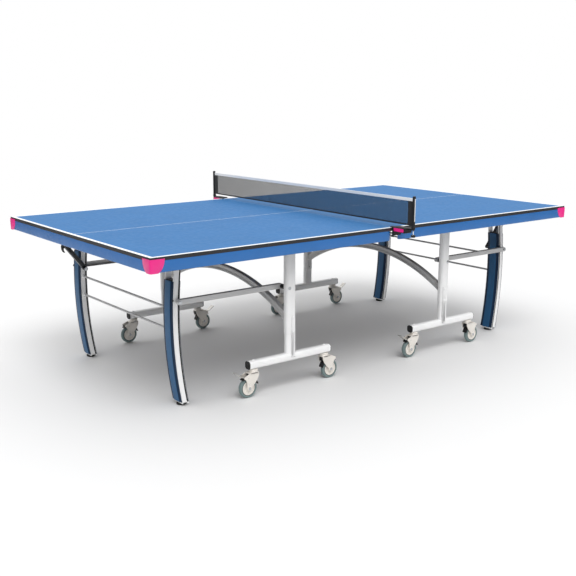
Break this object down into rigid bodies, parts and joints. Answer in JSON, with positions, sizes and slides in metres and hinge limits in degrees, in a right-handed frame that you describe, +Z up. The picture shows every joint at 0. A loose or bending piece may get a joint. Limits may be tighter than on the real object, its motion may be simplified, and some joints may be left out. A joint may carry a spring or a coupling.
{
  "type": "ping pong table",
  "caption": "Folding rollaway table tennis table: blue halves on braked castor carriages with curved legs, and a clamped net.",
  "frame": {"origin": "on the floor, under the middle of the net", "axes": "+X along the table from the half with the net clamps to the other, +Y across it, away from the front side, +Z up"},
  "size_m": [2.747, 1.779, 0.9225],
  "materials": {
    "playing_surface": "matt",
    "blue_apron": "satin",
    "pink_protector": "satin",
    "white_paint": "satin",
    "silver_paint": "satin",
    "blue_leg_cover": "satin",
    "grey_stay": "satin",
    "black_rubber": "matt",
    "cream_fork": "satin",
    "grey_tyre": "matt",
    "pedal_steel": "satin",
    "black_plastic": "satin",
    "net_cloth": "matt",
    "white_line": "satin",
    "edge_band": "satin",
    "white_hub": "satin",
    "zinc_bolt": "satin"
  },
  "bodies": {
    "left_carriage": {"left_front_upright": "white_paint", "left_back_upright": "white_paint", "left_arch_brace": "silver_paint", "left_front_base": "white_paint", "left_back_base": "white_paint"},
    "left_top": {"left_top_panel": "playing_surface", "left_apron_frame": "blue_apron", "left_front_corner_protector": "pink_protector", "left_back_corner_protector": "pink_protector", "net": "net_cloth", "front_net_clamp": "black_plastic", "back_net_clamp": "black_plastic"},
    "left_legs": {"left_leg_frame": "silver_paint", "left_front_leg_cover": "blue_leg_cover", "left_back_leg_cover": "blue_leg_cover"},
    "left_struts": {"left_front_strut": "silver_paint", "left_back_strut": "silver_paint"},
    "left_stay": {"left_leg_stay": "grey_stay"},
    "left_front_foot": {"left_front_foot": "black_rubber"},
    "left_front_outer_swivel": {"left_front_outer_fork": "cream_fork"},
    "left_front_outer_wheel": {"left_front_outer_wheel": "grey_tyre"},
    "left_front_outer_pedal": {"left_front_outer_brake_pedal": "pedal_steel"},
    "left_front_inner_swivel": {"left_front_inner_fork": "cream_fork"},
    "left_front_inner_wheel": {"left_front_inner_wheel": "grey_tyre"},
    "left_back_foot": {"left_back_foot": "black_rubber"},
    "left_back_outer_swivel": {"left_back_outer_fork": "cream_fork"},
    "left_back_outer_wheel": {"left_back_outer_wheel": "grey_tyre"},
    "left_back_inner_swivel": {"left_back_inner_fork": "cream_fork"},
    "left_back_inner_wheel": {"left_back_inner_wheel": "grey_tyre"},
    "left_back_inner_pedal": {"left_back_inner_brake_pedal": "pedal_steel"},
    "right_carriage": {"right_front_upright": "white_paint", "right_back_upright": "white_paint", "right_arch_brace": "silver_paint", "right_front_base": "white_paint", "right_back_base": "white_paint"},
    "right_top": {"right_top_panel": "playing_surface", "right_apron_frame": "blue_apron", "right_front_corner_protector": "pink_protector", "right_back_corner_protector": "pink_protector"},
    "right_legs": {"right_leg_frame": "silver_paint", "right_front_leg_cover": "blue_leg_cover", "right_back_leg_cover": "blue_leg_cover"},
    "right_struts": {"right_front_strut": "silver_paint", "right_back_strut": "silver_paint"},
    "right_stay": {"right_leg_stay": "grey_stay"},
    "right_back_foot": {"right_back_foot": "black_rubber"},
    "right_back_outer_swivel": {"right_back_outer_fork": "cream_fork"},
    "right_back_outer_wheel": {"right_back_outer_wheel": "grey_tyre"},
    "right_back_outer_pedal": {"right_back_outer_brake_pedal": "pedal_steel"},
    "right_back_inner_swivel": {"right_back_inner_fork": "cream_fork"},
    "right_back_inner_wheel": {"right_back_inner_wheel": "grey_tyre"},
    "right_front_foot": {"right_front_foot": "black_rubber"},
    "right_front_outer_swivel": {"right_front_outer_fork": "cream_fork"},
    "right_front_outer_wheel": {"right_front_outer_wheel": "grey_tyre"},
    "right_front_inner_swivel": {"right_front_inner_fork": "cream_fork"},
    "right_front_inner_wheel": {"right_front_inner_wheel": "grey_tyre"},
    "right_front_inner_pedal": {"right_front_inner_brake_pedal": "pedal_steel"},
    "front_clamp_screw": {"front_clamp_screw": "black_plastic"},
    "back_clamp_screw": {"back_clamp_screw": "black_plastic"}
  },
  "joints": [
    {"name": "left_top_tilt", "type": "hinge", "parent": "left_carriage", "child": "left_top", "pos_m": [-0.531, 0, 0.715], "axis": [0, 1, 0], "range_deg": [0, 83]},
    {"name": "left_leg_fold", "type": "hinge", "parent": "left_top", "child": "left_legs", "pos_m": [-1.0945, 0, 0.715], "axis": [0, 1, 0], "range_deg": [-83, 0]},
    {"name": "left_strut_swing", "type": "hinge", "parent": "left_carriage", "child": "left_struts", "pos_m": [-0.548, 0, 0.499], "axis": [0, 1, 0], "range_deg": [0, 83]},
    {"name": "left_stay_swing", "type": "hinge", "parent": "left_legs", "child": "left_stay", "pos_m": [-1.1115, 0, 0.499], "axis": [0, 1, 0], "range_deg": [0, 40]},
    {"name": "left_front_foot_level", "type": "slide", "parent": "left_legs", "child": "left_front_foot", "axis": [0, 0, -1], "range_m": [0, 0.012]},
    {"name": "left_front_outer_swivel_turn", "type": "hinge", "parent": "left_carriage", "child": "left_front_outer_swivel", "pos_m": [-0.752, -0.595, 0.135], "axis": [0, 0, 1], "continuous": true},
    {"name": "left_front_outer_wheel_roll", "type": "hinge", "parent": "left_front_outer_swivel", "child": "left_front_outer_wheel", "pos_m": [-0.786, -0.595, 0.048], "axis": [0, 1, 0], "continuous": true},
    {"name": "left_front_outer_pedal_press", "type": "hinge", "parent": "left_front_outer_swivel", "child": "left_front_outer_pedal", "pos_m": [-0.808, -0.595, 0.1035], "axis": [0, -1, 0], "range_deg": [0, 16], "stiffness_Nm_per_rad": 1.5, "springref_deg": -11.46},
    {"name": "left_front_inner_swivel_turn", "type": "hinge", "parent": "left_carriage", "child": "left_front_inner_swivel", "pos_m": [-0.319, -0.595, 0.135], "axis": [0, 0, 1], "continuous": true},
    {"name": "left_front_inner_wheel_roll", "type": "hinge", "parent": "left_front_inner_swivel", "child": "left_front_inner_wheel", "pos_m": [-0.285, -0.595, 0.048], "axis": [0, 1, 0], "continuous": true},
    {"name": "left_back_foot_level", "type": "slide", "parent": "left_legs", "child": "left_back_foot", "axis": [0, 0, -1], "range_m": [0, 0.012]},
    {"name": "left_back_outer_swivel_turn", "type": "hinge", "parent": "left_carriage", "child": "left_back_outer_swivel", "pos_m": [-0.752, 0.595, 0.135], "axis": [0, 0, 1], "continuous": true},
    {"name": "left_back_outer_wheel_roll", "type": "hinge", "parent": "left_back_outer_swivel", "child": "left_back_outer_wheel", "pos_m": [-0.786, 0.595, 0.048], "axis": [0, 1, 0], "continuous": true},
    {"name": "left_back_inner_swivel_turn", "type": "hinge", "parent": "left_carriage", "child": "left_back_inner_swivel", "pos_m": [-0.319, 0.595, 0.135], "axis": [0, 0, 1], "continuous": true},
    {"name": "left_back_inner_wheel_roll", "type": "hinge", "parent": "left_back_inner_swivel", "child": "left_back_inner_wheel", "pos_m": [-0.285, 0.595, 0.048], "axis": [0, 1, 0], "continuous": true},
    {"name": "left_back_inner_pedal_press", "type": "hinge", "parent": "left_back_inner_swivel", "child": "left_back_inner_pedal", "pos_m": [-0.263, 0.595, 0.1035], "axis": [0, 1, 0], "range_deg": [0, 16], "stiffness_Nm_per_rad": 1.5, "springref_deg": -11.46},
    {"name": "right_top_tilt", "type": "hinge", "parent": "right_carriage", "child": "right_top", "pos_m": [0.531, 0, 0.715], "axis": [0, -1, 0], "range_deg": [0, 83]},
    {"name": "right_leg_fold", "type": "hinge", "parent": "right_top", "child": "right_legs", "pos_m": [1.0945, 0, 0.715], "axis": [0, -1, 0], "range_deg": [-83, 0]},
    {"name": "right_strut_swing", "type": "hinge", "parent": "right_carriage", "child": "right_struts", "pos_m": [0.548, 0, 0.499], "axis": [0, -1, 0], "range_deg": [0, 83]},
    {"name": "right_stay_swing", "type": "hinge", "parent": "right_legs", "child": "right_stay", "pos_m": [1.1115, 0, 0.499], "axis": [0, -1, 0], "range_deg": [0, 40]},
    {"name": "right_back_foot_level", "type": "slide", "parent": "right_legs", "child": "right_back_foot", "axis": [0, 0, -1], "range_m": [0, 0.012]},
    {"name": "right_back_outer_swivel_turn", "type": "hinge", "parent": "right_carriage", "child": "right_back_outer_swivel", "pos_m": [0.752, 0.595, 0.135], "axis": [0, 0, 1], "continuous": true},
    {"name": "right_back_outer_wheel_roll", "type": "hinge", "parent": "right_back_outer_swivel", "child": "right_back_outer_wheel", "pos_m": [0.786, 0.595, 0.048], "axis": [0, 1, 0], "continuous": true},
    {"name": "right_back_outer_pedal_press", "type": "hinge", "parent": "right_back_outer_swivel", "child": "right_back_outer_pedal", "pos_m": [0.808, 0.595, 0.1035], "axis": [0, 1, 0], "range_deg": [0, 16], "stiffness_Nm_per_rad": 1.5, "springref_deg": -11.46},
    {"name": "right_back_inner_swivel_turn", "type": "hinge", "parent": "right_carriage", "child": "right_back_inner_swivel", "pos_m": [0.319, 0.595, 0.135], "axis": [0, 0, 1], "continuous": true},
    {"name": "right_back_inner_wheel_roll", "type": "hinge", "parent": "right_back_inner_swivel", "child": "right_back_inner_wheel", "pos_m": [0.285, 0.595, 0.048], "axis": [0, 1, 0], "continuous": true},
    {"name": "right_front_foot_level", "type": "slide", "parent": "right_legs", "child": "right_front_foot", "axis": [0, 0, -1], "range_m": [0, 0.012]},
    {"name": "right_front_outer_swivel_turn", "type": "hinge", "parent": "right_carriage", "child": "right_front_outer_swivel", "pos_m": [0.752, -0.595, 0.135], "axis": [0, 0, 1], "continuous": true},
    {"name": "right_front_outer_wheel_roll", "type": "hinge", "parent": "right_front_outer_swivel", "child": "right_front_outer_wheel", "pos_m": [0.786, -0.595, 0.048], "axis": [0, 1, 0], "continuous": true},
    {"name": "right_front_inner_swivel_turn", "type": "hinge", "parent": "right_carriage", "child": "right_front_inner_swivel", "pos_m": [0.319, -0.595, 0.135], "axis": [0, 0, 1], "continuous": true},
    {"name": "right_front_inner_wheel_roll", "type": "hinge", "parent": "right_front_inner_swivel", "child": "right_front_inner_wheel", "pos_m": [0.285, -0.595, 0.048], "axis": [0, 1, 0], "continuous": true},
    {"name": "right_front_inner_pedal_press", "type": "hinge", "parent": "right_front_inner_swivel", "child": "right_front_inner_pedal", "pos_m": [0.263, -0.595, 0.1035], "axis": [0, -1, 0], "range_deg": [0, 16], "stiffness_Nm_per_rad": 1.5, "springref_deg": -11.46},
    {"name": "halves_roll_apart", "type": "slide", "parent": "left_carriage", "child": "right_carriage", "axis": [1, 0, 0], "range_m": [0, 0.24]},
    {"name": "front_clamp_screw_turn_out", "type": "slide", "parent": "left_top", "child": "front_clamp_screw", "axis": [0, 0, -1], "range_m": [0, 0.012]},
    {"name": "back_clamp_screw_turn_out", "type": "slide", "parent": "left_top", "child": "back_clamp_screw", "axis": [0, 0, -1], "range_m": [0, 0.012]}
  ],
  "couplings": [
    {"joint": "left_leg_fold", "follows": "left_top_tilt", "ratio": -1},
    {"joint": "left_strut_swing", "follows": "left_top_tilt", "ratio": 1},
    {"joint": "left_stay_swing", "follows": "left_top_tilt", "ratio": 0.44},
    {"joint": "right_leg_fold", "follows": "right_top_tilt", "ratio": -1},
    {"joint": "right_strut_swing", "follows": "right_top_tilt", "ratio": 1},
    {"joint": "right_stay_swing", "follows": "right_top_tilt", "ratio": 0.44},
    {"joint": "halves_roll_apart", "follows": "left_top_tilt", "m_per_rad": 0.16}
  ]
}
